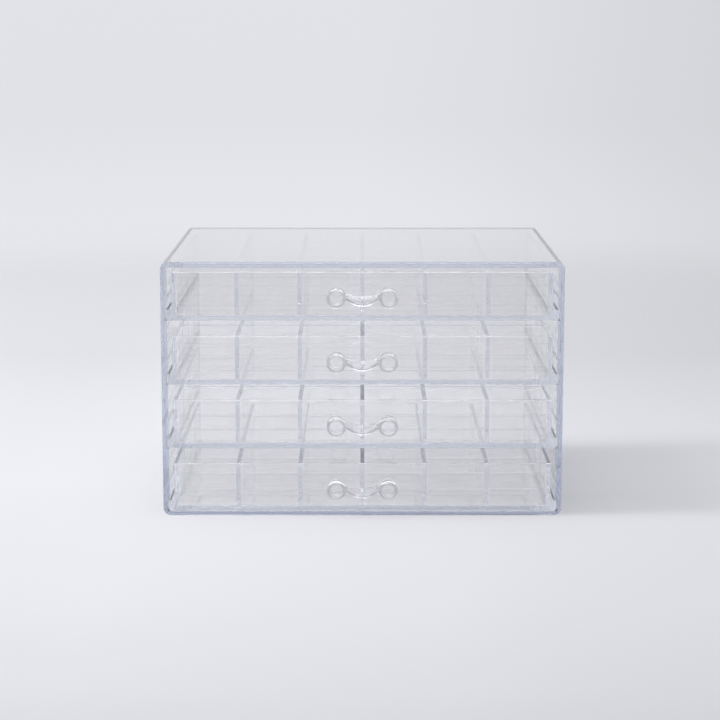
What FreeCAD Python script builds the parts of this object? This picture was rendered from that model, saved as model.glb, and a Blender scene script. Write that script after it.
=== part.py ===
"""Clear organizer with four drawers, each divided into a grid of small compartments.

The case is a one-piece clear shell, open in front, with a back panel set in a rebate.
It has no shelves: each drawer tray has a runner low on either side, and the runners
slide in grooves in the case's side walls. Slotted strips cross in each tray and make
its compartments, and a bow handle is pegged into each tray's front wall.

Frame, in millimetres: +X to the right, +Y to the back, +Z up. The origin is the centre
of the case's underside. Level 1 is the top drawer.
"""
import FreeCAD, Part
import os

Vector = FreeCAD.Vector

# ---- Driving dimensions ------------------------------------------------------------

# Drawer tray
DRAWER_COUNT = 4
TRAY_WIDTH = 227.0            # over the side walls, without the runners
TRAY_DEPTH = 184.0            # front face to back face
TRAY_FLOOR = 2.9              # thickness of the floor
TRAY_WALL = 2.5               # thickness of the four walls
TRAY_WALL_HEIGHT = 26.2       # walls above the floor's upper face
TRAY_CORNER = 1.6             # outer upright corners
TRAY_INNER_CORNER = 0.8       # inner upright corners

# Case
SIDE_WALL = 3.8
TOP_WALL = 3.6
BASE_WALL = 2.4
CASE_CORNER = 4.5             # outer long corners
CASE_INNER_CORNER = 0.8       # inner long corners at the top
RIM_BEVEL = 0.5               # outer edge of the open front
SIDE_GAP = 2.7                # tray wall to the case's side wall
DRAWER_GAP = 9.6              # tray rim to the tray above
TOP_GAP = 2.65                # top tray's rim to the case's top wall
FRONT_INSET = 1.0             # tray front behind the case's front rim
REAR_GAP = 2.0                # tray back to the back panel

# Runners and grooves
RUNNER_RISE = 3.6             # runner above the floor's upper face
RUNNER_LOW_ROUND = 2.0        # lower outer corner of the runner
RUNNER_HIGH_ROUND = 0.8       # upper outer corner of the runner
GROOVE_DEPTH = 1.3            # into the side wall
RUN_CLEARANCE = 0.15          # under a runner
RUN_TOP_CLEARANCE = 0.3       # over a runner
RUN_SIDE_CLEARANCE = 0.25     # runner's side to the groove's face

# Back panel
BACK_PANEL = 3.0
REBATE_STEP = 1.5             # rebate into the case's side and top walls
BASE_REBATE_STEP = 1.0        # rebate into the case's base
PANEL_CLEARANCE = 0.1         # all round the panel

# Grid of strips
COLUMNS = 6
ROWS = 4
STRIP = 2.5                   # thickness of every strip
STRIP_BELOW_RIM = 0.3         # strips end this far below the tray's rim
BRIDGE = 3.0                  # what is left of a cross strip under a slot
GRID_CLEARANCE = 0.1          # at the slots, the floor and the tray's walls

# Bow handle
BOSS_SPACING = 31.0
BOSS_RADIUS = 5.8
BOSS_BEVEL = 0.9              # front edge of a boss
BOSS_ABOVE_FLOOR = 11.4       # boss axis above the floor's upper face
HANDLE_REACH = 11.0           # tray front to the front of the bosses
PEG_RADIUS = 4.1
PEG_CLEARANCE = 0.1           # round the peg, and short of the wall's inner face
BAR_DEPTH = 5.6
BAR_SETBACK = 0.6             # bar behind the front of the bosses
BAR_TOP = 0.9                 # middle of the bar's upper edge, above the boss axis
BAR_BOTTOM = 4.8              # middle of the bar's lower edge, below the boss axis
BAR_END_TOP = 3.8             # upper edge at the bar's ends, above the boss axis
BAR_END_BOTTOM = 0.7          # lower edge at the bar's ends, below the boss axis
BAR_BEVEL = 1.5
BAR_ROOT = 1.4                # how far the bar runs into a boss

# ---- What follows from them --------------------------------------------------------

TRAY_HEIGHT = TRAY_FLOOR + TRAY_WALL_HEIGHT
DRAWER_PITCH = TRAY_HEIGHT + DRAWER_GAP
INNER_WIDTH = TRAY_WIDTH + 2 * SIDE_GAP
CASE_WIDTH = INNER_WIDTH + 2 * SIDE_WALL
CASE_DEPTH = FRONT_INSET + TRAY_DEPTH + REAR_GAP + BACK_PANEL
LOWEST_FLOOR = BASE_WALL + RUN_CLEARANCE
CASE_INNER_TOP = LOWEST_FLOOR + (DRAWER_COUNT - 1) * DRAWER_PITCH + TRAY_HEIGHT + TOP_GAP
CASE_HEIGHT = CASE_INNER_TOP + TOP_WALL
CASE_FRONT = -CASE_DEPTH / 2
CASE_BACK = CASE_DEPTH / 2

TRAY_FRONT = CASE_FRONT + FRONT_INSET
TRAY_BACK = TRAY_FRONT + TRAY_DEPTH
RUNNER_REACH = INNER_WIDTH / 2 + GROOVE_DEPTH - RUN_SIDE_CLEARANCE
RUNNER_HEIGHT = TRAY_FLOOR + RUNNER_RISE

GRID_WIDTH = TRAY_WIDTH - 2 * TRAY_WALL
GRID_DEPTH = TRAY_DEPTH - 2 * TRAY_WALL
COLUMN_PITCH = (GRID_WIDTH + STRIP) / COLUMNS
ROW_PITCH = (GRID_DEPTH + STRIP) / ROWS
STRIP_HEIGHT = TRAY_WALL_HEIGHT - STRIP_BELOW_RIM - GRID_CLEARANCE
SLOT_WIDTH = STRIP + 2 * GRID_CLEARANCE


def underside(level):
    """Height of the underside of the tray at this level, 1 being the top one."""
    return LOWEST_FLOOR + (DRAWER_COUNT - level) * DRAWER_PITCH


def block(x, y, z):
    """Box between pairs of limits along X, Y and Z."""
    corner = Vector(x[0], y[0], z[0])
    return Part.makeBox(x[1] - x[0], y[1] - y[0], z[1] - z[0], corner)


def edges_along(shape, axis, test):
    """Straight edges of the shape along one axis whose midpoint passes the test."""
    chosen = []
    for edge in shape.Edges:
        if not isinstance(edge.Curve, Part.Line):
            continue
        start, end = edge.Vertexes[0].Point, edge.Vertexes[-1].Point
        direction = (end - start).normalize()
        if abs(abs(direction.dot(axis)) - 1) < 1e-6 and test((start + end) / 2):
            chosen.append(edge)
    return chosen


def save(shape, node):
    """Write one sub-part, after removing seams left inside its faces."""
    clean = shape.removeSplitter()
    clean.exportStep("parts/" + node + ".step")
    print(node, "solids", len(clean.Solids), "valid", clean.isValid())


# ---- Case --------------------------------------------------------------------------

def groove_cutter(level, side):
    """What one runner's groove takes out of the case's side wall."""
    low = underside(level) - RUN_CLEARANCE
    high = underside(level) + RUNNER_HEIGHT + RUN_TOP_CLEARANCE
    inside = side * INNER_WIDTH / 4
    reach = side * (INNER_WIDTH / 2 + GROOVE_DEPTH)
    return block(sorted((inside, reach)), (CASE_FRONT, CASE_BACK), (low, high))


def make_case_shell():
    """Open-fronted shell with rounded long corners, runner grooves and a rear rebate."""
    half = CASE_WIDTH / 2
    outer = block((-half, half), (CASE_FRONT, CASE_BACK), (0, CASE_HEIGHT))
    outer = outer.makeFillet(CASE_CORNER, edges_along(outer, Vector(0, 1, 0), lambda p: True))
    rim = [edge for edge in outer.Edges
           if all(abs(vertex.Point.y - CASE_FRONT) < 1e-6 for vertex in edge.Vertexes)]
    outer = outer.makeChamfer(RIM_BEVEL, rim)

    bay_half = INNER_WIDTH / 2
    bay = block((-bay_half, bay_half), (CASE_FRONT, CASE_BACK), (BASE_WALL, CASE_INNER_TOP))
    at_top = edges_along(bay, Vector(0, 1, 0), lambda p: p.z > CASE_HEIGHT / 2)
    bay = bay.makeFillet(CASE_INNER_CORNER, at_top)
    shell = outer.cut(bay)

    for level in range(1, DRAWER_COUNT + 1):
        for side in (-1, 1):
            shell = shell.cut(groove_cutter(level, side))

    rebate_half = bay_half + REBATE_STEP
    rebate = block((-rebate_half, rebate_half), (CASE_BACK - BACK_PANEL, CASE_BACK),
                   (BASE_WALL - BASE_REBATE_STEP, CASE_INNER_TOP + REBATE_STEP))
    return shell.cut(rebate)


def make_back_panel():
    """Flat panel that fills the rebate at the rear of the case."""
    half = INNER_WIDTH / 2 + REBATE_STEP - PANEL_CLEARANCE
    low = BASE_WALL - BASE_REBATE_STEP + PANEL_CLEARANCE
    high = CASE_INNER_TOP + REBATE_STEP - PANEL_CLEARANCE
    return block((-half, half), (CASE_BACK - BACK_PANEL + PANEL_CLEARANCE, CASE_BACK),
                 (low, high))


# ---- Drawer ------------------------------------------------------------------------

def make_runner(level, side):
    """Full-depth runner on one side of a tray, its outer corners rounded."""
    low = underside(level)
    inner = side * (TRAY_WIDTH / 2 - TRAY_WALL / 2)
    outer = side * RUNNER_REACH
    runner = block(sorted((inner, outer)), (TRAY_FRONT, TRAY_BACK), (low, low + RUNNER_HEIGHT))
    along = Vector(0, 1, 0)
    lower = edges_along(runner, along, lambda p: abs(p.x - outer) < 1e-6 and p.z < low + 1)
    runner = runner.makeFillet(RUNNER_LOW_ROUND, lower)
    upper = edges_along(runner, along, lambda p: abs(p.x - outer) < 1e-6
                        and abs(p.z - low - RUNNER_HEIGHT) < 1e-6)
    return runner.makeFillet(RUNNER_HIGH_ROUND, upper)


def make_tray(level):
    """Open tray with runners and two peg holes for its handle."""
    low = underside(level)
    floor_top = low + TRAY_FLOOR
    half = TRAY_WIDTH / 2
    body = block((-half, half), (TRAY_FRONT, TRAY_BACK), (low, low + TRAY_HEIGHT))
    upright = Vector(0, 0, 1)
    body = body.makeFillet(TRAY_CORNER, edges_along(body, upright, lambda p: True))
    for side in (-1, 1):
        body = body.fuse(make_runner(level, side))

    hollow = block((-GRID_WIDTH / 2, GRID_WIDTH / 2),
                   (TRAY_FRONT + TRAY_WALL, TRAY_BACK - TRAY_WALL),
                   (floor_top, low + TRAY_HEIGHT + 1))
    hollow = hollow.makeFillet(TRAY_INNER_CORNER, edges_along(hollow, upright, lambda p: True))
    body = body.cut(hollow)

    for side in (-1, 1):
        mouth = Vector(side * BOSS_SPACING / 2, TRAY_FRONT, floor_top + BOSS_ABOVE_FLOOR)
        hole = Part.makeCylinder(PEG_RADIUS + PEG_CLEARANCE, TRAY_WALL, mouth, Vector(0, 1, 0))
        body = body.cut(hole)
    return body


def column_line(index):
    """X of the middle of a lengthwise strip, from 1 at the left."""
    return (index - COLUMNS / 2) * COLUMN_PITCH


def row_line(index):
    """Y of the middle of a cross strip, from 1 at the front."""
    return (TRAY_FRONT + TRAY_BACK) / 2 + (index - ROWS / 2) * ROW_PITCH


def strip_heights(level):
    """Lower and upper edge of the strips in the tray at this level."""
    low = underside(level) + TRAY_FLOOR + GRID_CLEARANCE
    return low, low + STRIP_HEIGHT


def make_length_strip(level, index):
    """Strip from front to back, with a shallow notch over each cross strip's bridge."""
    low, high = strip_heights(level)
    middle = column_line(index)
    strip = block((middle - STRIP / 2, middle + STRIP / 2),
                  (TRAY_FRONT + TRAY_WALL + GRID_CLEARANCE,
                   TRAY_BACK - TRAY_WALL - GRID_CLEARANCE), (low, high))
    for row in range(1, ROWS):
        line = row_line(row)
        notch = block((middle - STRIP, middle + STRIP),
                      (line - SLOT_WIDTH / 2, line + SLOT_WIDTH / 2),
                      (low - 1, low + BRIDGE + GRID_CLEARANCE))
        strip = strip.cut(notch)
    return strip


def make_cross_strip(level, index):
    """Strip from side to side, slotted from above for every lengthwise strip."""
    low, high = strip_heights(level)
    middle = row_line(index)
    half = GRID_WIDTH / 2 - GRID_CLEARANCE
    strip = block((-half, half), (middle - STRIP / 2, middle + STRIP / 2), (low, high))
    for column in range(1, COLUMNS):
        line = column_line(column)
        slot = block((line - SLOT_WIDTH / 2, line + SLOT_WIDTH / 2),
                     (middle - STRIP, middle + STRIP), (low + BRIDGE, high + 1))
        strip = strip.cut(slot)
    return strip


def make_boss(side, axis_height):
    """Round boss with a bevelled front edge, and the peg behind it."""
    front = TRAY_FRONT - HANDLE_REACH
    centre = Vector(side * BOSS_SPACING / 2, front, axis_height)
    boss = Part.makeCylinder(BOSS_RADIUS, HANDLE_REACH, centre, Vector(0, 1, 0))
    front_edge = [edge for edge in boss.Edges
                  if isinstance(edge.Curve, Part.Circle)
                  and abs(edge.Curve.Center.y - front) < 1e-6]
    boss = boss.makeChamfer(BOSS_BEVEL, front_edge)
    root = Vector(centre.x, TRAY_FRONT, axis_height)
    peg = Part.makeCylinder(PEG_RADIUS, TRAY_WALL - PEG_CLEARANCE, root, Vector(0, 1, 0))
    return boss.fuse(peg)


def make_bar(axis_height):
    """Sagging bar between the bosses, all its long edges bevelled."""
    front = TRAY_FRONT - HANDLE_REACH + BAR_SETBACK
    end = BOSS_SPACING / 2 - BOSS_RADIUS + BAR_ROOT
    edges = []
    ends = []
    for middle_rise, end_rise in ((BAR_TOP, BAR_END_TOP), (-BAR_BOTTOM, -BAR_END_BOTTOM)):
        left = Vector(-end, front, axis_height + end_rise)
        right = Vector(end, front, axis_height + end_rise)
        middle = Vector(0, front, axis_height + middle_rise)
        edges.append(Part.Arc(left, middle, right).toShape())
        ends.append((left, right))
    for upper, lower in zip(*ends):
        edges.append(Part.LineSegment(upper, lower).toShape())
    outline = Part.Wire(Part.__sortEdges__(edges))
    bar = Part.Face(outline).extrude(Vector(0, BAR_DEPTH, 0))
    long_edges = [edge for edge in bar.Edges if isinstance(edge.Curve, Part.Circle)]
    return bar.makeChamfer(BAR_BEVEL, long_edges)


def make_handle(level):
    """Bow handle: two bosses with pegs and the bar that joins them."""
    axis_height = underside(level) + TRAY_FLOOR + BOSS_ABOVE_FLOOR
    handle = make_bar(axis_height)
    for side in (-1, 1):
        handle = handle.fuse(make_boss(side, axis_height))
    return handle


# ---- Build -------------------------------------------------------------------------

os.makedirs("parts", exist_ok=True)
save(make_case_shell(), "case_shell")
save(make_back_panel(), "back_panel")
for drawer in range(1, DRAWER_COUNT + 1):
    prefix = "drawer_%d_" % drawer
    save(make_tray(drawer), prefix + "tray")
    save(make_handle(drawer), prefix + "handle")
    for column in range(1, COLUMNS):
        save(make_length_strip(drawer, column), prefix + "length_strip_%d" % column)
    for row in range(1, ROWS):
        save(make_cross_strip(drawer, row), prefix + "cross_strip_%d" % row)
print("case", CASE_WIDTH, CASE_DEPTH, CASE_HEIGHT)
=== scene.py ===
# %% [markdown]
# A clear organizer with four drawers. Every part of it is colourless acrylic, so its look
# comes from three things: the exact shape of the edges, which bend and trap light, the faint
# blue-grey that the plastic takes on over a long path, and what surrounds it. On top of that,
# its cut edges and handles carry painted shade, and the floor carries painted light. The lesson
# loads the imported model as a fixed frame, sets up a camera and a pale studio, makes the
# acrylic, and then models the case, one tray, its strips and its handle, and copies them
# to the four levels.

# %% Load the frame
import math

import bmesh
import bpy
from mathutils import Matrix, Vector


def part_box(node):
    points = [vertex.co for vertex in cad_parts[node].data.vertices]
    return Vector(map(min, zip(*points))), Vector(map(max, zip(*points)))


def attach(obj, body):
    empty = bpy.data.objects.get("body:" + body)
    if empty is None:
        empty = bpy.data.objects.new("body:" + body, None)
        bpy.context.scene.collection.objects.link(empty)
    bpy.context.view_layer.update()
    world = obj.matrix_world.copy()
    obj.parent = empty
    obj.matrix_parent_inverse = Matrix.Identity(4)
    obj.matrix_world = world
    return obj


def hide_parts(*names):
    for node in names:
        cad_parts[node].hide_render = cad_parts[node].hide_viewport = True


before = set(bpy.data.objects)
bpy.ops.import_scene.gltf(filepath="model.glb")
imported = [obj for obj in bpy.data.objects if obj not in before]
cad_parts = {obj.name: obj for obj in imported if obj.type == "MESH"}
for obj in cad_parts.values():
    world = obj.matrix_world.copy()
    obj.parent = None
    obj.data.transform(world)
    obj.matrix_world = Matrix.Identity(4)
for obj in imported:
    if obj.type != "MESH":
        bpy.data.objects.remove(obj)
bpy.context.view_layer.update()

# %% [markdown]
# Sizes are easier to read in millimetres, but Blender works in metres here. One factor
# turns the one into the other.

# %% Millimetres
MM = 0.001


def mm(*values):
    """A vector from lengths in millimetres."""
    return Vector(values) * MM


print("one millimetre is", MM, "units")

# %% [markdown]
# The camera looks at the front from a little above, from far away with a long lens, so the
# sides run back only slightly. It stands 1.23 m in front of the case.

# %% Camera
CAMERA_PLACE = mm(-0.37, -1323.6, 305.0)
LOOKS_DOWN = 9.697
LOOKS_LEFT = 0.049
LENS = 104.5
SENSOR_WIDTH = 36

camera_turn = (math.radians(90 - LOOKS_DOWN), 0, math.radians(LOOKS_LEFT))
bpy.ops.object.camera_add(location=CAMERA_PLACE, rotation=camera_turn)
camera = bpy.context.active_object
camera.name = "camera"
camera.data.lens = LENS
camera.data.sensor_width = SENSOR_WIDTH
bpy.context.scene.camera = camera
print("camera at", [round(v, 3) for v in camera.location])

# %% [markdown]
# Materials are built from nodes. Small helpers add a node, join two of them and make a colour
# ramp, so each finish reads as a list of what feeds what. A ramp turns a number from 0 to 1
# into a colour. Its stops are written as pairs of a place on it and a grey or a colour. The
# colour sockets of a mix node share their names with others, so they go by number.

# %% Node tools
MIX_FIRST = 6
MIX_SECOND = 7
MIX_RESULT = 2
RAMP_MIDDLE = 0.5


def fresh_tree(owner):
    """The empty node tree of a material or world."""
    owner.use_nodes = True
    owner.node_tree.nodes.clear()
    return owner.node_tree


def add(tree, kind, place, inputs=None, **settings):
    """Adds a shader node with its plain inputs and settings."""
    made = tree.nodes.new(kind)
    made.location = place
    for key, value in settings.items():
        setattr(made, key, value)
    for key, value in (inputs or {}).items():
        made.inputs[key].default_value = value
    return made


def join(tree, start, out, end, into):
    """Links an output to an input, by name or number."""
    tree.links.new(start.outputs[out], end.inputs[into])


def colour_ramp(tree, place, stops):
    """A colour ramp with these (place, colour) stops. A new stop starts in the middle."""
    made = add(tree, "ShaderNodeValToRGB", place)
    elements = made.color_ramp.elements
    while len(elements) < len(stops):
        elements.new(RAMP_MIDDLE)
    for element, (where, colour) in zip(elements, stops):
        element.position = where
        element.color = tuple(colour) + (1,)
    return made


def ramp(tree, place, stops, tint=(1, 1, 1)):
    """A colour ramp with these (place, grey) stops, all of one tint."""
    return colour_ramp(tree, place, [(where, [grey * part for part in tint])
                                     for where, grey in stops])


def multiply(tree, place, first, second):
    """The product of two colours, as an output to link on."""
    mixed = add(tree, "ShaderNodeMix", place, {"Factor": 1}, data_type="RGBA",
                blend_type="MULTIPLY")
    tree.links.new(first, mixed.inputs[MIX_FIRST])
    tree.links.new(second, mixed.inputs[MIX_SECOND])
    return mixed.outputs[MIX_RESULT]


def tones_along(tree, place, parts, axis, span, stops, tint):
    """A ramp of tones that runs along one axis, from the span's start to its end."""
    reach = add(tree, "ShaderNodeMapRange", place, {"From Min": span[0], "From Max": span[1]})
    tones = ramp(tree, (place[0] + 200, place[1]), stops, tint)
    join(tree, parts, axis, reach, "Value")
    join(tree, reach, "Result", tones, "Fac")
    return tones.outputs["Color"]


def seen_rays(tree, place):
    """1 for rays from the camera, a mirror or glass, 0 for rays that gather light."""
    rays = add(tree, "ShaderNodeLightPath", place)
    first = add(tree, "ShaderNodeMath", (place[0] + 200, place[1]), operation="MAXIMUM")
    both = add(tree, "ShaderNodeMath", (place[0] + 400, place[1]), operation="MAXIMUM")
    join(tree, rays, "Is Camera Ray", first, 0)
    join(tree, rays, "Is Glossy Ray", first, 1)
    join(tree, first, 0, both, 0)
    join(tree, rays, "Is Transmission Ray", both, 1)
    return both


print("node tools ready")

# %% [markdown]
# The floor is one large pale sheet of paper. Clear plastic shows what stands behind it, so
# the floor is as much a part of the look as the plastic is. Near the organizer it is paper
# that takes a shadow. Its colour is also painted light: its tones run from front to back and
# from left to right, lightest near the organizer and darker far in front and towards the
# sides, standing in for the way the lamps' light falls off. Far away it turns clear, for the
# camera, mirrors and glass only, so it fades into the room without a horizon. It lies a hair
# below the case, because two surfaces in the same place would flicker.

# %% Floor
FLOOR_WIDTH = 80.0
FLOOR_DROP = 0.15 * MM
PAPER_ROUGHNESS = 0.3
ROOM_TINT = (0.985, 0.990, 1.04)
# painted light: the paper's tones, lightest near the organizer and darker far in front and
# towards the sides, stand in for the lamps' falloff
PAINTED_DEPTH_LIGHT = ((0.0, 0.60), (0.235, 0.75), (0.28, 0.848), (0.32, 0.878), (0.37, 0.887),
               (0.40, 0.900), (0.46, 0.862), (0.54, 0.812), (0.64, 0.858), (1.0, 0.86))
DEPTH_RANGE = (-1.4, 2.1)
PAINTED_SIDE_LIGHT = ((0.0, 0.88), (0.38, 0.955), (0.43, 1.0), (0.52, 1.0), (0.55, 0.975),
              (0.64, 0.955), (1.0, 0.92))
SIDE_RANGE = (-1.0, 1.0)
FADE_FROM = 0.5
FADE_TO = 1.5

bpy.ops.mesh.primitive_plane_add(size=FLOOR_WIDTH, location=(0, 0, -FLOOR_DROP))
floor = bpy.context.active_object
floor.name = "floor"

floor_paper = bpy.data.materials.new("floor_paper")
tree = fresh_tree(floor_paper)
place = add(tree, "ShaderNodeTexCoord", (-1100, 0))
parts = add(tree, "ShaderNodeSeparateXYZ", (-900, 0))
join(tree, place, "Object", parts, 0)
# painted light on the paper: its tones across and along stand in for the lamps' falloff
across = tones_along(tree, (-700, 200), parts, "X", SIDE_RANGE, PAINTED_SIDE_LIGHT, ROOM_TINT)
inwards = tones_along(tree, (-700, -100), parts, "Y", DEPTH_RANGE, PAINTED_DEPTH_LIGHT, (1, 1, 1))
paper = add(tree, "ShaderNodeBsdfDiffuse", (150, 100), {"Roughness": PAPER_ROUGHNESS})
tree.links.new(multiply(tree, (-200, 0), across, inwards), paper.inputs["Color"])
clear = add(tree, "ShaderNodeBsdfTransparent", (150, -150))
distance = add(tree, "ShaderNodeVectorMath", (-700, -400), operation="LENGTH")
join(tree, place, "Object", distance, 0)
far = add(tree, "ShaderNodeMapRange", (-500, -400),
          {"From Min": FADE_FROM, "From Max": FADE_TO}, interpolation_type="SMOOTHSTEP")
tree.links.new(distance.outputs["Value"], far.inputs["Value"])
seen = seen_rays(tree, (-700, -650))
share = add(tree, "ShaderNodeMath", (-50, -450), operation="MULTIPLY")
join(tree, far, "Result", share, 0)
join(tree, seen, 0, share, 1)
surface = add(tree, "ShaderNodeMixShader", (400, 0))
join(tree, share, 0, surface, 0)
join(tree, paper, 0, surface, 1)
join(tree, clear, 0, surface, 2)
output = add(tree, "ShaderNodeOutputMaterial", (600, 0))
join(tree, surface, 0, output, "Surface")
floor.data.materials.append(floor_paper)
print("floor is", FLOOR_WIDTH, "m wide")

# %% [markdown]
# The light is soft: a faint sky, one panel to the upper left that throws a shadow to the
# right, and one overhead. Mirrors and glass don't see these two panels. If they did, a stack
# of clear sheets would mirror the one overhead so often that its top turned white. Two more,
# high up in front and behind, are there for the acrylic alone: they draw the bright arcs on
# the handles' round edges, and light no paper. Acrylic also mirrors and bends the room, so
# the room that it shows isn't one tone: it is pale behind the organizer, falls off to the
# right, is white overhead and grey behind the camera.

# %% World and lamps
SKY_COLOUR = (0.975, 0.98, 1.0, 1)
SKY_STRENGTH = 0.135
ACROSS_TONES = ((0.0, 1.0), (0.5, 1.0), (0.583, 0.975), (0.683, 0.925), (0.775, 0.88),
                (0.92, 0.86), (1.0, 0.86))
ALONG_TONES = ((0.0, 0.55), (0.3, 0.70), (0.45, 0.88), (0.62, 1.0), (1.0, 1.0))
HEIGHT_TONES = ((0.0, 0.77), (0.133, 0.79), (0.167, 0.805), (0.204, 0.765), (0.25, 0.77),
                (0.55, 0.77), (0.70, 0.95), (1.0, 1.0))
ROOM_AXES = (("X", (-0.3, 0.3), ACROSS_TONES, (1, 1, 1)),
             ("Y", (-1.0, 1.0), ALONG_TONES, (1, 1, 1)),
             ("Z", (-0.3, 0.9), HEIGHT_TONES, ROOM_TINT))
# each lamp has a name, a place, the point that it faces, a width and height, and a power
PAPER_LAMPS = (("left_panel", (-1.8, -0.2, 1.5), (0, 0, 0.05), (0.5, 2.0), 52),
               ("top_panel", (0.1, 0.1, 2.2), (0, 0, 0), (1.8, 1.2), 18))
GLINT_LAMPS = (("rear_panel", (0, 1.5, 1.7), (0, 0, 0.1), (2.0, 0.8), 8),
               ("front_panel", (0, -1.3, 1.45), (0, 0, 0.1), (1.6, 0.9), 26))

world = bpy.data.worlds.new("studio")
bpy.context.scene.world = world
tree = fresh_tree(world)
sky = add(tree, "ShaderNodeBackground", (200, 100),
          {"Color": SKY_COLOUR, "Strength": SKY_STRENGTH})
place = add(tree, "ShaderNodeTexCoord", (-1000, -100))
parts = add(tree, "ShaderNodeSeparateXYZ", (-800, -100))
join(tree, place, "Generated", parts, 0)
room = add(tree, "ShaderNodeBackground", (200, -100), {"Strength": 1})
across, inwards, upwards = [tones_along(tree, (-600, 100 - 300 * row), parts, *settings)
                            for row, settings in enumerate(ROOM_AXES)]
level_tones = multiply(tree, (-100, -200), across, inwards)
room_tones = multiply(tree, (-100, -500), level_tones, upwards)
tree.links.new(room_tones, room.inputs["Color"])
seen = seen_rays(tree, (-400, 400))
both = add(tree, "ShaderNodeMixShader", (400, 0))
join(tree, seen, 0, both, 0)
join(tree, sky, 0, both, 1)
join(tree, room, 0, both, 2)
output = add(tree, "ShaderNodeOutputWorld", (600, 0))
join(tree, both, 0, output, "Surface")


def panel_lamp(name, place, target, size, watts):
    """A lamp panel of this width and height that faces a point."""
    bpy.ops.object.light_add(type="AREA", location=place)
    lamp = bpy.context.active_object
    lamp.name = name
    lamp.rotation_euler = (Vector(target) - Vector(place)).to_track_quat("-Z", "Y").to_euler()
    lamp.data.shape = "RECTANGLE"
    lamp.data.size, lamp.data.size_y = size
    lamp.data.energy = watts
    lamp.visible_camera = False
    return lamp


for settings in PAPER_LAMPS:
    lamp = panel_lamp(*settings)
    lamp.visible_glossy = False
    lamp.visible_transmission = False
for settings in GLINT_LAMPS:
    panel_lamp(*settings).visible_diffuse = False

# %% [markdown]
# The acrylic is a glass shader with the refraction of acrylic, 1.49, and a volume that takes
# a little red and green out of the light on its way. A flat wall is so thin that it stays
# clear, but light that runs along inside a sheet, from one cut edge to the other, comes out
# blue-grey. The volume alone gives only a part of that, so each piece also marks its cut edges
# in an attribute on its faces, and the finish gives marked faces an edge tone. That tone is
# partly the plastic's own blue-grey and partly painted shade: most tones run dark near the
# table, where the low edges stand in the organizer's own shade, and light up at the case's top.
# The handles get painted shade too: a darker ring on each boss, a darker underside of the bar,
# and a darker band where their round faces turn away. Rays that look for a lamp, and rays that
# gather light for the paper, can't bend through a solid, so they meet a plain transparent
# shader in its place, which takes a little of their light at each surface.

# %% Acrylic
ACRYLIC_IOR = 1.49
TINT = (0.20, 0.34, 0.60, 1)
SHADE_COLOUR = (0.962, 0.962, 0.962, 1)
CASE_TOP = 0.154
EDGE_TINT_AND_SHADE_MARK = "edge_tint_and_painted_shade"
SCUFF_SCALE = 60
SCUFF_DETAIL = 4
SCUFF_FROM = 0.35
SCUFF_TO = 0.75
TURN_BLEND = 0.5
CLEAR = (1, 1, 1)
TRAY_CLEAR = (0.990, 0.989, 0.990)
# painted shade: these edge tones hold the plastic's blue-grey and grow darker towards the table,
# where the low edges stand in shade
CASE_EDGE_TINT_AND_SHADE = ((0.0, (0.42, 0.44, 0.53)), (0.36, (0.65, 0.67, 0.74)), (0.8, (0.90, 0.90, 0.93)),
              (1.0, (0.91, 0.91, 0.92)))
TRAY_EDGE_TINT_AND_SHADE = ((0.0, (0.52, 0.54, 0.55)), (0.28, (0.55, 0.57, 0.65)), (0.53, (0.80, 0.82, 0.86)),
              (0.8, (1.0, 1.0, 1.0)))
STRIP_EDGE_TINT_AND_SHADE = ((0.0, (0.24, 0.26, 0.32)), (0.17, (0.26, 0.28, 0.34)), (0.20, (0.47, 0.49, 0.54)),
               (0.50, (0.50, 0.52, 0.57)), (0.72, (0.62, 0.64, 0.69)), (0.78, (0.93, 0.93, 0.96)),
               (0.92, (0.93, 0.93, 0.96)), (0.96, (0.88, 0.89, 0.93)))
# painted shade: a darker ring on each boss and a darker underside of the bar
HANDLE_PAINTED_SHADE = ((0.0, (0.52, 0.53, 0.56)), (1.0, (0.58, 0.59, 0.62)))
# painted shade: a darker band where a handle's round faces turn partly away
HANDLE_TURN_SHADE = ((0.0, 1.0), (0.03, 1.0), (0.08, 0.70), (0.25, 0.68), (0.42, 1.0), (1.0, 1.0))


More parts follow.
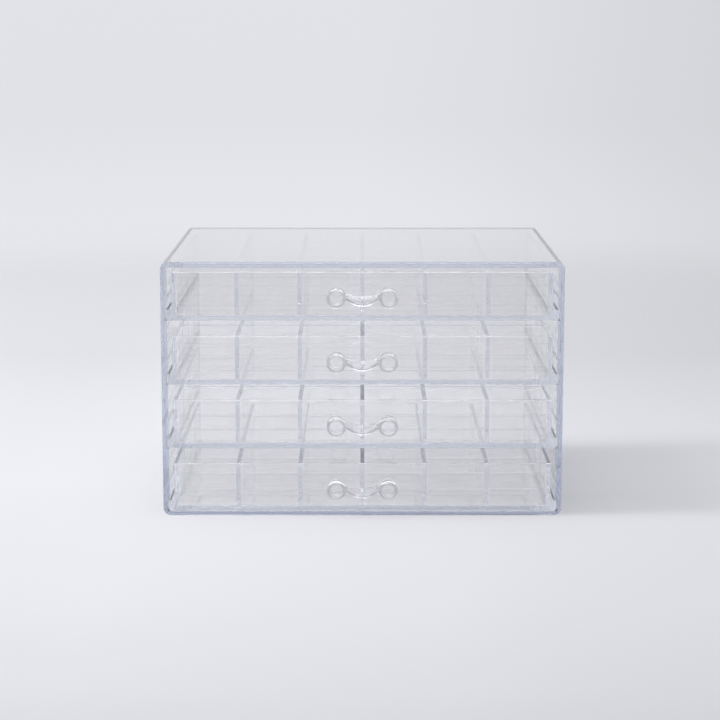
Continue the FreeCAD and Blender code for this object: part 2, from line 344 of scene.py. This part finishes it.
def clear_acrylic(name, clarity, density, edge_tint_and_shade, smooth=0.0, wear=0.01, turn_shade=None):
    """Clear acrylic. Clarity is the share of light that a surface lets in, density how strongly
    depth tints, smooth the roughness and wear how much more it has in places. Edge tones, the
    tint and shade of marked faces, run from the table up to the case's top: partly the plastic's
    own tint, partly painted shade. Turn tones are painted shade: greys that run from a face seen
    square on to one seen from the side."""
    finish = bpy.data.materials.new(name)
    tree = fresh_tree(finish)
    place = add(tree, "ShaderNodeTexCoord", (-1100, 0))
    parts = add(tree, "ShaderNodeSeparateXYZ", (-900, 250))
    height = add(tree, "ShaderNodeMapRange", (-700, 250), {"From Max": CASE_TOP})
    # the edge tones run with height: painted shade, darker near the table
    tones = colour_ramp(tree, (-500, 250), edge_tint_and_shade)
    mark = add(tree, "ShaderNodeAttribute", (-500, 450), attribute_name=EDGE_TINT_AND_SHADE_MARK)
    colour = add(tree, "ShaderNodeMix", (-200, 250), data_type="RGBA")
    colour.inputs[MIX_FIRST].default_value = tuple(clarity) + (1,)
    join(tree, place, "Object", parts, 0)
    join(tree, parts, "Z", height, "Value")
    join(tree, height, "Result", tones, "Fac")
    tree.links.new(mark.outputs["Fac"], colour.inputs["Factor"])
    tree.links.new(tones.outputs["Color"], colour.inputs[MIX_SECOND])
    surface_colour = colour.outputs[MIX_RESULT]
    # painted shade that darkens faces in a band as they turn away
    if turn_shade:
        turn = add(tree, "ShaderNodeLayerWeight", (-500, 700), {"Blend": TURN_BLEND})
        turned = ramp(tree, (-300, 700), turn_shade)
        join(tree, turn, "Facing", turned, "Fac")
        surface_colour = multiply(tree, (0, 400), surface_colour, turned.outputs["Color"])

    scuffs = add(tree, "ShaderNodeTexNoise", (-900, -50),
                 {"Scale": SCUFF_SCALE, "Detail": SCUFF_DETAIL})
    spread = add(tree, "ShaderNodeMapRange", (-700, -50),
                 {"From Min": SCUFF_FROM, "From Max": SCUFF_TO,
                  "To Min": smooth, "To Max": smooth + wear})
    join(tree, place, "Object", scuffs, "Vector")
    join(tree, scuffs, "Fac", spread, "Value")

    body = add(tree, "ShaderNodeBsdfPrincipled", (200, 0),
               {"Transmission Weight": 1, "IOR": ACRYLIC_IOR})
    tree.links.new(surface_colour, body.inputs["Base Color"])
    join(tree, spread, "Result", body, "Roughness")
    lets_through = add(tree, "ShaderNodeBsdfTransparent", (200, -400),
                       {"Color": SHADE_COLOUR})
    rays = add(tree, "ShaderNodeLightPath", (100, 300))
    gathers = add(tree, "ShaderNodeMath", (300, 300), operation="MAXIMUM")
    join(tree, rays, "Is Shadow Ray", gathers, 0)
    join(tree, rays, "Is Diffuse Ray", gathers, 1)
    chooser = add(tree, "ShaderNodeMixShader", (500, 0))
    join(tree, gathers, 0, chooser, 0)
    join(tree, body, 0, chooser, 1)
    join(tree, lets_through, 0, chooser, 2)
    depth_tint = add(tree, "ShaderNodeVolumeAbsorption", (400, -300),
                     {"Color": TINT, "Density": density})
    output = add(tree, "ShaderNodeOutputMaterial", (700, 0))
    join(tree, chooser, 0, output, "Surface")
    join(tree, depth_tint, 0, output, "Volume")
    return finish


case_finish = clear_acrylic("case_acrylic_clear", CLEAR, density=1.9, edge_tint_and_shade=CASE_EDGE_TINT_AND_SHADE,
                            wear=0.003)
drawer_finish = clear_acrylic("drawer_acrylic_clear", TRAY_CLEAR, density=1.3,
                              edge_tint_and_shade=TRAY_EDGE_TINT_AND_SHADE, wear=0.006)
strip_finish = clear_acrylic("strip_acrylic_clear", CLEAR, density=0.9,
                             edge_tint_and_shade=STRIP_EDGE_TINT_AND_SHADE, wear=0.006)
handle_finish = clear_acrylic("handle_acrylic_clear", CLEAR, density=1.2,
                              edge_tint_and_shade=HANDLE_PAINTED_SHADE, smooth=0.04, turn_shade=HANDLE_TURN_SHADE)
print("finishes", [m.name for m in bpy.data.materials if m.name.endswith("_clear")])

# %% [markdown]
# Light trapped in a sheet bounces many times before it leaves at an edge, and the view
# through four drawers crosses dozens of surfaces. With too few bounces those paths end black.

# %% Bounces
BOUNCES = 64

bpy.context.scene.view_settings.view_transform = "Standard"
cycles = bpy.context.scene.cycles
cycles.max_bounces = BOUNCES
cycles.transmission_bounces = BOUNCES
cycles.glossy_bounces = BOUNCES
cycles.transparent_max_bounces = BOUNCES
cycles.caustics_reflective = False
cycles.caustics_refractive = False
print("bounces", BOUNCES)

# %% [markdown]
# A few tools of the bench. A piece starts as a block between two corners. In edit mode, its
# faces or edges are then chosen by where they lie or which way they face, and cut, pushed or
# rounded. A face counts as facing a way if over nine tenths of its normal point there. Two
# places nearer than a fiftieth of a millimetre count as one. The object's own place stays at
# the origin, with the block's place in its mesh.

# %% Bench tools
NEAR = 0.02 * MM
FINE = 0.001 * MM
FACING = 0.9
FULL_WEIGHT = 100


def alone(piece):
    """Selects one object and makes it active."""
    bpy.ops.object.select_all(action="DESELECT")
    piece.select_set(True)
    bpy.context.view_layer.objects.active = piece


def settle(piece):
    """Puts the object's place, turn and size into its mesh."""
    alone(piece)
    bpy.ops.object.transform_apply(location=True, rotation=True, scale=True)


def block(name, low, high):
    """A block between two corners."""
    low, high = Vector(low), Vector(high)
    bpy.ops.object.select_all(action="DESELECT")
    bpy.ops.mesh.primitive_cube_add(size=1, location=(low + high) / 2)
    piece = bpy.context.active_object
    piece.name = name
    piece.scale = high - low
    settle(piece)
    return piece


def edit(piece, kind):
    """Opens the piece in edit mode with nothing selected, to choose faces or edges."""
    alone(piece)
    bpy.ops.object.mode_set(mode="EDIT")
    bpy.ops.mesh.select_mode(type=kind)
    bpy.ops.mesh.select_all(action="DESELECT")


def close():
    """Back to object mode."""
    bpy.ops.object.mode_set(mode="OBJECT")


def choose_faces(piece, test):
    """Selects the faces whose middle and normal pass the test, and counts them."""
    bpy.ops.mesh.select_all(action="DESELECT")
    shape = bmesh.from_edit_mesh(piece.data)
    for face in shape.faces:
        if test(face.calc_center_median(), face.normal):
            face.select_set(True)
    bmesh.update_edit_mesh(piece.data)
    return sum(face.select for face in shape.faces)


def choose_edges(piece, test):
    """Selects the edges whose two ends pass the test, and counts them."""
    bpy.ops.mesh.select_all(action="DESELECT")
    shape = bmesh.from_edit_mesh(piece.data)
    for edge in shape.edges:
        if test(edge.verts[0].co, edge.verts[1].co, edge):
            edge.select_set(True)
    bmesh.update_edit_mesh(piece.data)
    return sum(edge.select for edge in shape.edges)


def cut_across(axis, places):
    """Cuts the whole piece across one axis at each of the places."""
    normal = Vector((0, 0, 0))
    normal[axis] = 1
    for value in places:
        bpy.ops.mesh.select_all(action="SELECT")
        bpy.ops.mesh.bisect(plane_co=normal * value, plane_no=normal, threshold=FINE)
    bpy.ops.mesh.select_all(action="DESELECT")


def push(direction, distance):
    """Extrudes the chosen faces as one region."""
    bpy.ops.mesh.extrude_region_move(
        TRANSFORM_OT_translate={"value": Vector(direction) * distance})


def carve(piece, cutter):
    """Takes the cutter's shape out of the piece, and throws the cutter away."""
    alone(piece)
    saw = piece.modifiers.new("saw", "BOOLEAN")
    saw.operation = "DIFFERENCE"
    saw.solver = "EXACT"
    saw.object = cutter
    bpy.ops.object.modifier_apply(modifier=saw.name)
    bpy.data.objects.remove(cutter, do_unlink=True)


def along(axis, a, b):
    """True if the edge from a to b runs along this axis."""
    return all(abs(a[i] - b[i]) < NEAR for i in range(3) if i != axis)


def ease_edges(piece, width, steps=2, limit=35):
    """Rounds every sharp edge a little, and keeps the flat faces' light flat."""
    alone(piece)
    bpy.ops.object.shade_smooth()
    ease = piece.modifiers.new("ease", "BEVEL")
    ease.width = width
    ease.segments = steps
    ease.limit_method = "ANGLE"
    ease.angle_limit = math.radians(limit)
    ease.use_clamp_overlap = True
    ease.miter_outer = "MITER_ARC"
    bpy.ops.object.modifier_apply(modifier=ease.name)
    level = piece.modifiers.new("level", "WEIGHTED_NORMAL")
    level.weight = FULL_WEIGHT
    bpy.ops.object.modifier_apply(modifier=level.name)


def mark_edges(piece, strength):
    """Marks each face for the finish to read, with a strength from its middle and normal."""
    marks = piece.data.attributes.new(EDGE_TINT_AND_SHADE_MARK, "FLOAT", "FACE")
    for face in piece.data.polygons:
        marks.data[face.index].value = strength(face.center, face.normal)
    print(piece.name, "marked faces", sum(mark.value > 0 for mark in marks.data))


def report(piece):
    """Prints how large a piece is."""
    corners = [Vector(c) for c in piece.bound_box]
    size = [round((max(c[i] for c in corners) - min(c[i] for c in corners)) / MM, 2)
            for i in range(3)]
    print(piece.name, "faces", len(piece.data.polygons), "size in mm", size)


print("bench ready")

# %% [markdown]
# The case is one shell, open in front. The real one is moulded or bent and glued sheet, with
# rounded long corners outside and nearly sharp ones inside. It could be made from five plates,
# but then the corners would be seams. Here a block gets its four long corners rounded, and
# the room inside is modelled as a core, as a mould maker would, and taken out of the block.
# The core has a rib for each groove that a drawer's runner slides in. The lowest groove
# starts on the base, so the core isn't cut below it. Of the shell, only the front is marked as
# a cut edge. Its rear edge frames the panel and stays clear like it.

# %% Case shell
SIDE_WALL = 3.8 * MM
TOP_WALL = 3.6 * MM
BASE_WALL = 2.4 * MM
CASE_CORNER = 4.5 * MM
CASE_CORNER_STEPS = 8
INNER_CORNER = 0.8 * MM
INNER_CORNER_STEPS = 3
GROOVE_DEPTH = 1.3 * MM
GROOVE_SPARE_LOW = 0.15 * MM
GROOVE_SPARE_HIGH = 0.3 * MM
RUNNER_HEIGHT = 6.5 * MM
BACK_PANEL = 3.0 * MM
REBATE = 1.5 * MM
BASE_REBATE = 1.0 * MM
OVERSHOOT = 5 * MM
EDGE = 0.35 * MM
LEVELS = (1, 2, 3, 4)

case_low, case_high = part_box("case_shell")
shell = block("case_shell_clear", case_low, case_high)
edit(shell, "EDGE")
choose_edges(shell, lambda a, b, edge: along(1, a, b))
bpy.ops.mesh.bevel(offset=CASE_CORNER, segments=CASE_CORNER_STEPS, affect="EDGES")
close()

core_low = Vector((case_low.x + SIDE_WALL, case_low.y - OVERSHOOT, case_low.z + BASE_WALL))
core_high = Vector((case_high.x - SIDE_WALL, case_high.y + OVERSHOOT, case_high.z - TOP_WALL))
core = block("core", core_low, core_high)
grooves = []
for level in LEVELS:
    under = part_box("drawer_%d_tray" % level)[0].z
    grooves.append((under - GROOVE_SPARE_LOW, under + RUNNER_HEIGHT + GROOVE_SPARE_HIGH))
edit(core, "EDGE")
cut_across(2, [z for pair in grooves for z in pair if z > core_low.z + NEAR])
bpy.ops.mesh.select_mode(type="FACE")
for side in (-1, 1):
    choose_faces(core, lambda middle, normal: normal.x * side > FACING and any(
        low < middle.z < high for low, high in grooves))
    push((side, 0, 0), GROOVE_DEPTH)
bpy.ops.mesh.select_mode(type="EDGE")
choose_edges(core, lambda a, b, edge: along(1, a, b) and a.z > core_high.z - NEAR)
bpy.ops.mesh.bevel(offset=INNER_CORNER, segments=INNER_CORNER_STEPS, affect="EDGES")
close()
carve(shell, core)

rebate = block("rebate",
               (core_low.x - REBATE, case_high.y - BACK_PANEL, core_low.z - BASE_REBATE),
               (core_high.x + REBATE, case_high.y + OVERSHOOT, core_high.z + REBATE))
carve(shell, rebate)
ease_edges(shell, EDGE)
# the marked front takes the case's edge tone: its own blue-grey with painted shade, darker low
# down
mark_edges(shell, lambda middle, normal: 1.0 if middle.y < case_low.y + EDGE else 0.0)
report(shell)

# %% [markdown]
# The back is a loose sheet in a rebate. It is a plain plate, but its cut edges are what one
# sees of it, so they are eased like all the others.

# %% Back panel
panel_low, panel_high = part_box("back_panel")
panel = block("back_panel_clear", panel_low, panel_high)
ease_edges(panel, EDGE)
report(panel)

# %% [markdown]
# One tray is modelled at the top level. The block's top is inset and pushed down to leave the
# floor and four walls. The sides are cut at the runner's height and their lower part is pushed
# out, which makes the runners.

# %% Tray
TRAY_WALL = 2.5 * MM
TRAY_FLOOR = 2.9 * MM
TRAY_HALF_WIDTH = 113.5 * MM

tray_low, tray_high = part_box("drawer_1_tray")
runner_reach = tray_high.x
runner_top = tray_low.z + RUNNER_HEIGHT
floor_top = tray_low.z + TRAY_FLOOR
tray = block("drawer_1_tray_clear", (-TRAY_HALF_WIDTH, tray_low.y, tray_low.z),
             (TRAY_HALF_WIDTH, tray_high.y, tray_high.z))
edit(tray, "FACE")
choose_faces(tray, lambda middle, normal: normal.z > FACING)
bpy.ops.mesh.inset(thickness=TRAY_WALL)
push((0, 0, -1), tray_high.z - floor_top)

choose_faces(tray, lambda middle, normal: abs(middle.x) > TRAY_HALF_WIDTH - NEAR)
bpy.ops.mesh.bisect(plane_co=(0, 0, runner_top), plane_no=(0, 0, 1), threshold=FINE)
for side in (-1, 1):
    choose_faces(tray, lambda middle, normal: normal.x * side > FACING
                 and abs(middle.x) > TRAY_HALF_WIDTH - NEAR and middle.z < runner_top)
    push((side, 0, 0), runner_reach - TRAY_HALF_WIDTH)
close()
print("runners stand out by", round((runner_reach - TRAY_HALF_WIDTH) / MM, 2), "mm")

# %% [markdown]
# A moulded tray has no sharp corners. The front's upper edge, the four upright corners inside
# and outside, and the runners' long edges each get a round of their own. One tool could round
# them all alike, but the runners are rounder below, where they ride, than the rest. The front
# is first cut level with the floor, so that the floor's edge can be marked and the wall above
# it left clear.

# %% Tray edges
RIM_ROUND = 0.35 * MM
RIM_STEPS = 4
TRAY_CORNER = 0.9 * MM
TRAY_CORNER_STEPS = 4
TRAY_INNER_CORNER = 0.8 * MM
RUNNER_LOW_ROUND = 2.0 * MM
RUNNER_LOW_STEPS = 5
RUNNER_HIGH_ROUND = 0.8 * MM
RUNNER_HIGH_STEPS = 3

inside_x = TRAY_HALF_WIDTH - TRAY_WALL
edit(tray, "FACE")
choose_faces(tray, lambda middle, normal: normal.y < -FACING and middle.y < tray_low.y + NEAR)
bpy.ops.mesh.bisect(plane_co=(0, 0, floor_top), plane_no=(0, 0, 1), threshold=FINE)
bpy.ops.mesh.select_mode(type="EDGE")
ROUNDS = (
    (RIM_ROUND, RIM_STEPS, lambda a, b, edge: along(0, a, b) and a.z > tray_high.z - NEAR
     and a.y < tray_low.y + NEAR),
    (TRAY_INNER_CORNER, INNER_CORNER_STEPS, lambda a, b, edge: along(2, a, b)
     and abs(abs(a.x) - inside_x) < NEAR),
    (TRAY_CORNER, TRAY_CORNER_STEPS, lambda a, b, edge: along(2, a, b)
     and abs(abs(a.x) - TRAY_HALF_WIDTH) < NEAR and max(a.z, b.z) > runner_top + NEAR),
    (RUNNER_LOW_ROUND, RUNNER_LOW_STEPS, lambda a, b, edge: along(1, a, b)
     and abs(a.x) > runner_reach - NEAR and a.z < tray_low.z + NEAR),
    (RUNNER_HIGH_ROUND, RUNNER_HIGH_STEPS, lambda a, b, edge: along(1, a, b)
     and abs(a.x) > runner_reach - NEAR and a.z > runner_top - NEAR))
for width, steps, test in ROUNDS:
    edges = choose_edges(tray, test)
    bpy.ops.mesh.bevel(offset=width, segments=steps, affect="EDGES")
    print("rounded", edges, "edges by", round(width / MM, 2), "mm")
close()

# %% [markdown]
# The handle's two pegs go through the tray's front wall, so it gets a hole for each. The holes
# are drilled with a cylinder, which leaves their rims round however the wall was cut before.
# Then the tray's last sharp edges are eased, and what shows as a cut edge is marked: the
# floor's front, and the side walls' upper edges.

# %% Tray holes and marks
PEG_HOLE = 4.2 * MM
BOSS_ABOVE_FLOOR = 11.4 * MM
BOSS_SPACING = 31 * MM
ROUND_SIDES = 48
TRAY_EDGE = 0.25 * MM
FRONT_MARK = 0.5

boss_z = floor_top + BOSS_ABOVE_FLOOR
for side in (-1, 1):
    bpy.ops.object.select_all(action="DESELECT")
    bpy.ops.mesh.primitive_cylinder_add(
        vertices=ROUND_SIDES, radius=PEG_HOLE, depth=2 * TRAY_WALL,
        location=(side * BOSS_SPACING / 2, tray_low.y + TRAY_WALL / 2, boss_z),
        rotation=(math.radians(90), 0, 0))
    drill = bpy.context.active_object
    settle(drill)
    carve(tray, drill)
ease_edges(tray, TRAY_EDGE)


# these marks take the tray's edge tone: its own blue-grey with painted shade, darker on the lower
# trays
def tray_mark(middle, normal):
    """Half a mark on the floor's front edge, a whole one on the side walls' upper edges."""
    if (middle.y < tray_low.y + NEAR and middle.z < floor_top
            and abs(middle.x) < TRAY_HALF_WIDTH):
        return FRONT_MARK
    if normal.z > FACING and middle.z > tray_high.z - NEAR and abs(middle.x) > inside_x:
        return 1.0
    return 0.0


mark_edges(tray, tray_mark)
report(tray)

# %% [markdown]
# The strips lock together like the cells of a bottle crate. A cross strip starts as the low
# bridge that is left under its slots, is cut at each slot's sides, and its teeth are pushed up
# between the cuts. A lengthwise strip is the same upside down, with a shallow notch where it
# passes over each bridge. Its front end also has a small dimple low down, where the plastic
# came into the mould, taken out with a ball. The strips are thin and crisp, so their edges
# stay sharp, and all the upper ones are marked.

# %% Strips
STRIP = 2.5 * MM
BRIDGE = 3.0 * MM
SPARE = 0.1 * MM
COLUMNS = 6
ROWS = 4
GATE_BALL = 1.0 * MM
GATE_DEPTH = 0.5 * MM
GATE_RISE = 7.5 * MM
GATE_SEGMENTS = 24
GATE_RINGS = 12
STRIP_FRONT_MARK = 0.32
STRIP_END = 1.0 * MM
GATE_FACING = -0.5


def comb(name, low, high, axis, teeth_up, root, lines):
    """A slotted strip along an axis. Its teeth stand on a root of this height, and leave a
    slot at each line."""
    start, end = Vector(low), Vector(high)
    if teeth_up:
        end.z = start.z + root
    else:
        start.z = end.z - root
    strip = block(name, start, end)
    half_slot = STRIP / 2 + SPARE
    edit(strip, "EDGE")
    cut_across(axis, [line + side * half_slot for line in lines for side in (-1, 1)])
    bpy.ops.mesh.select_mode(type="FACE")
    way = 1 if teeth_up else -1
    choose_faces(strip, lambda middle, normal: normal.z * way > FACING and all(
        abs(middle[axis] - line) > half_slot for line in lines))
    push((0, 0, way), (high[2] - low[2]) - root)
    close()
    return strip


column_pitch = (2 * inside_x + STRIP) / COLUMNS
row_pitch = (tray_high.y - tray_low.y - 2 * TRAY_WALL + STRIP) / ROWS
tray_middle = (tray_high.y + tray_low.y) / 2
column_lines = [(index - COLUMNS / 2) * column_pitch for index in range(1, COLUMNS)]
row_lines = [tray_middle + (index - ROWS / 2) * row_pitch for index in range(1, ROWS)]

cross_low, cross_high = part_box("drawer_1_cross_strip_1")
cross_strip = comb("drawer_1_cross_strip_1_clear", cross_low, cross_high, 0, True, BRIDGE,
                   column_lines)
strip_low, strip_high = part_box("drawer_1_length_strip_1")
length_root = strip_high.z - strip_low.z - BRIDGE - SPARE
length_strip = comb("drawer_1_length_strip_1_clear", strip_low, strip_high, 1, False,
                    length_root, row_lines)
bpy.ops.object.select_all(action="DESELECT")
bpy.ops.mesh.primitive_uv_sphere_add(
    segments=GATE_SEGMENTS, ring_count=GATE_RINGS, radius=GATE_BALL,
    location=((strip_low.x + strip_high.x) / 2, strip_low.y - GATE_BALL + GATE_DEPTH,
              strip_low.z + GATE_RISE))
gate = bpy.context.active_object
settle(gate)
carve(length_strip, gate)


# these marks take the strips' edge tone: their own blue-grey with painted shade, darker on the
# lower drawers
def strip_mark(middle, normal):
    """A whole mark on the upper edges and on a cross strip's ends, and part of one on a
    lengthwise strip's front end, with its dimple."""
    if normal.z > FACING and middle.z > strip_high.z - NEAR:
        return 1.0
    if abs(normal.x) > FACING and abs(middle.x) > inside_x - STRIP_END:
        return 1.0
    if normal.y < GATE_FACING and middle.y < strip_low.y + GATE_DEPTH:
        return STRIP_FRONT_MARK
    return 0.0


for strip in (cross_strip, length_strip):
    alone(strip)
    bpy.ops.object.shade_flat()
    mark_edges(strip, strip_mark)
    report(strip)

# %% [markdown]
# The handle is a bow: two round bosses, pegged through the tray's front, and a bar that sags
# between them. The bosses are cylinders with a rounded front edge, and a peg pushed out of
# the back. They stand a hair off the wall, because two clear faces in one place would show
# as patches.

# %% Handle bosses
BOSS_RADIUS = 5.8 * MM
BOSS_EDGE = 1.6 * MM
BOSS_EDGE_STEPS = 6
PEG_RADIUS = 4.1 * MM
PEG_LENGTH = 2.35 * MM
SEAT_GAP = 0.05 * MM

boss_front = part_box("drawer_1_handle")[0].y
boss_seat = tray_low.y - SEAT_GAP
bosses = []
for side in (-1, 1):
    bpy.ops.object.select_all(action="DESELECT")
    bpy.ops.mesh.primitive_cylinder_add(
        vertices=ROUND_SIDES, radius=BOSS_RADIUS, depth=boss_seat - boss_front,
        location=(side * BOSS_SPACING / 2, (boss_front + boss_seat) / 2, boss_z),
        rotation=(math.radians(90), 0, 0))
    boss = bpy.context.active_object
    settle(boss)
    bosses.append(boss)
alone(bosses[0])
bosses[1].select_set(True)
bpy.ops.object.join()
handle = bosses[0]
handle.name = "drawer_1_handle_clear"

edit(handle, "FACE")
choose_faces(handle, lambda middle, normal: normal.y > FACING)
bpy.ops.mesh.inset(thickness=BOSS_RADIUS - PEG_RADIUS)
push((0, 1, 0), PEG_LENGTH)
bpy.ops.mesh.select_mode(type="EDGE")
choose_edges(handle, lambda a, b, edge: abs(a.y - boss_front) < NEAR
             and abs(b.y - boss_front) < NEAR)
bpy.ops.mesh.bevel(offset=BOSS_EDGE, segments=BOSS_EDGE_STEPS, affect="EDGES")
close()
print("bosses reach", round((boss_seat - boss_front) / MM, 2), "mm forward")

# %% [markdown]
# The bar could be a tube pushed into both bosses, but then its ends would show inside the
# clear plastic. Here a patch of each boss's side is opened, the two openings are bridged, and
# the rings of the bridge are moved one by one, most in the middle, so the bar grows out of
# the bosses in one skin. The patch runs from a little below the boss's middle to well above
# it, in degrees round the boss. The heights of the sag are those of the bar's edges in its
# middle, over the bosses' middle.

# %% Handle bar
BAR_FROM = -7.5
BAR_TO = 37.5
BAR_BACK = 6.2 * MM
BAR_RINGS = 15
BAR_SAG_TOP = 1.2 * MM
BAR_SAG_BOTTOM = -4.8 * MM
RING_SLACK = 0.01


def boss_angle(point):
    """Angle of a point round its boss, in degrees, from the side that faces the other boss."""
    side = 1 if point.x > 0 else -1
    return math.degrees(math.atan2(point.z - boss_z, BOSS_SPACING / 2 - side * point.x))


bar_front = boss_front + BOSS_EDGE
bar_back = boss_front + BAR_BACK
edit(handle, "FACE")
cut_across(1, [bar_back])
opened = choose_faces(handle, lambda middle, normal: bar_front < middle.y < bar_back
                      and BAR_FROM < boss_angle(middle) < BAR_TO)
bpy.ops.mesh.bridge_edge_loops(number_cuts=BAR_RINGS - 1, interpolation="LINEAR")
print("faces opened", opened)

root_low = BOSS_RADIUS * math.sin(math.radians(BAR_FROM))
root_high = BOSS_RADIUS * math.sin(math.radians(BAR_TO))
nearest = BOSS_SPACING / 2 - BOSS_RADIUS
farthest = BOSS_SPACING / 2 - BOSS_RADIUS * math.cos(math.radians(BAR_TO))
bpy.ops.mesh.select_mode(type="VERT")
for ring in range(1, BAR_RINGS):
    along_bar = 1 - 2 * ring / BAR_RINGS
    sag = 1 - along_bar ** 2
    ends = sorted((-along_bar * nearest * (1 - RING_SLACK),
                   -along_bar * farthest * (1 + RING_SLACK)))
    shape = bmesh.from_edit_mesh(handle.data)
    for vertex in shape.verts:
        vertex.select_set(ends[0] - NEAR < vertex.co.x < ends[1] + NEAR
                          and bar_front - NEAR < vertex.co.y < bar_back + NEAR)
    shape.select_flush(True)
    bmesh.update_edit_mesh(handle.data)
    rise = (BAR_SAG_TOP + BAR_SAG_BOTTOM - root_high - root_low) / 2 * sag
    stretch = 1 + ((BAR_SAG_TOP - BAR_SAG_BOTTOM) / (root_high - root_low) - 1) * sag
    middle = (0, 0, boss_z + (root_high + root_low) / 2)
    bpy.ops.transform.resize(value=(1, 1, stretch), center_override=middle)
    bpy.ops.transform.translate(value=(0, 0, rise))
close()

# %% [markdown]
# The bridge has flat sides with many edges along it. Those between two faces in one plane are
# dissolved, and the four long corners that are left are rounded, which makes the bar nearly
# oval. Two marks of painted shade follow for the finish: a darker ring round each boss's flat
# front, and a darker underside of the bar.

# %% Handle edges
BAR_ROUND = 2.0 * MM
BAR_ROUND_STEPS = 6
FLAT_ANGLE = 0.01
CORNER_ANGLE = math.radians(50)
HANDLE_EDGE = 0.3 * MM
HANDLE_EDGE_STEPS = 3
BOSS_PAINTED_SHADE = 1.0
BOSS_RING = (-0.995, -0.95)
BAR_PAINTED_SHADE = 0.7
BAR_UNDER = -0.35
BAR_FORWARD = -0.2


def on_bar(a, b):
    """True for an edge that runs along the bar."""
    return max(abs(a.x), abs(b.x)) < farthest + NEAR and abs(a.x - b.x) > abs(a.z - b.z)


edit(handle, "EDGE")
choose_edges(handle, lambda a, b, edge: on_bar(a, b) and edge.calc_face_angle() < FLAT_ANGLE)
bpy.ops.mesh.dissolve_edges(use_verts=True)
long_edges = choose_edges(handle, lambda a, b, edge: on_bar(a, b)
                          and edge.calc_face_angle() > CORNER_ANGLE)
bpy.ops.mesh.bevel(offset=BAR_ROUND, segments=BAR_ROUND_STEPS, affect="EDGES")
bpy.ops.mesh.select_all(action="SELECT")
bpy.ops.mesh.remove_doubles(threshold=FINE)
bpy.ops.mesh.normals_make_consistent(inside=False)
close()
print("bar edges rounded", long_edges)
ease_edges(handle, HANDLE_EDGE, steps=HANDLE_EDGE_STEPS)


def handle_painted_shade(middle, normal):
    """Painted shade: a whole mark on the ring round each boss's flat front, part of one low on
    the bar.
    """
    if middle.y < boss_front + BOSS_EDGE / 4 and BOSS_RING[0] < normal.y < BOSS_RING[1]:
        return BOSS_PAINTED_SHADE
    if abs(middle.x) < nearest and normal.z < BAR_UNDER and normal.y < BAR_FORWARD:
        return BAR_PAINTED_SHADE
    return 0.0


mark_edges(handle, handle_painted_shade)
report(handle)

# %% [markdown]
# What repeats is copied, each copy with a mesh of its own. A copy is moved by the distance
# between two CAD nodes' boxes, so it lands exactly where the frame says. Every piece then
# rides on its body, and the CAD node whose place it takes is hidden.

# %% Copies, finishes and bodies


def copy_to(source, name, offset):
    """A copy of a piece with its own mesh, moved by the offset."""
    alone(source)
    bpy.ops.object.duplicate(linked=False)
    twin = bpy.context.active_object
    twin.name = name
    twin.location = offset
    settle(twin)
    return twin


def place_piece(piece, cad_node, body, finish, slot):
    """Gives a piece its finish and body, and hides the CAD node whose place it takes. The slot is
    not used.
    """
    piece.data.materials.clear()
    piece.data.materials.append(finish)
    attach(piece, body)
    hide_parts(cad_node)


def shift(cad_node, first_node):
    """How far one CAD node is from another of the same shape."""
    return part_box(cad_node)[0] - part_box(first_node)[0]


SETS = [("tray", "tray", tray, drawer_finish, "drawer_acrylic"),
        ("handle", "handle", handle, handle_finish, "handle_acrylic")]
SETS += [("length_strip_%d" % index, "length_strip_1", length_strip, strip_finish,
          "strip_acrylic") for index in range(1, COLUMNS)]
SETS += [("cross_strip_%d" % index, "cross_strip_1", cross_strip, strip_finish,
          "strip_acrylic") for index in range(1, ROWS)]

made = []
for level in LEVELS:
    body = "drawer_%d" % level
    for part, first, source, finish, slot in SETS:
        cad_node = body + "_" + part
        first_node = "drawer_1_" + first
        if cad_node == first_node:
            piece = source
        else:
            piece = copy_to(source, cad_node + "_clear", shift(cad_node, first_node))
        made.append((piece, cad_node, body, finish, slot))
for settings in made:
    place_piece(*settings)
place_piece(shell, "case_shell", "case", case_finish, "case_acrylic")
place_piece(panel, "back_panel", "case", case_finish, "case_acrylic")
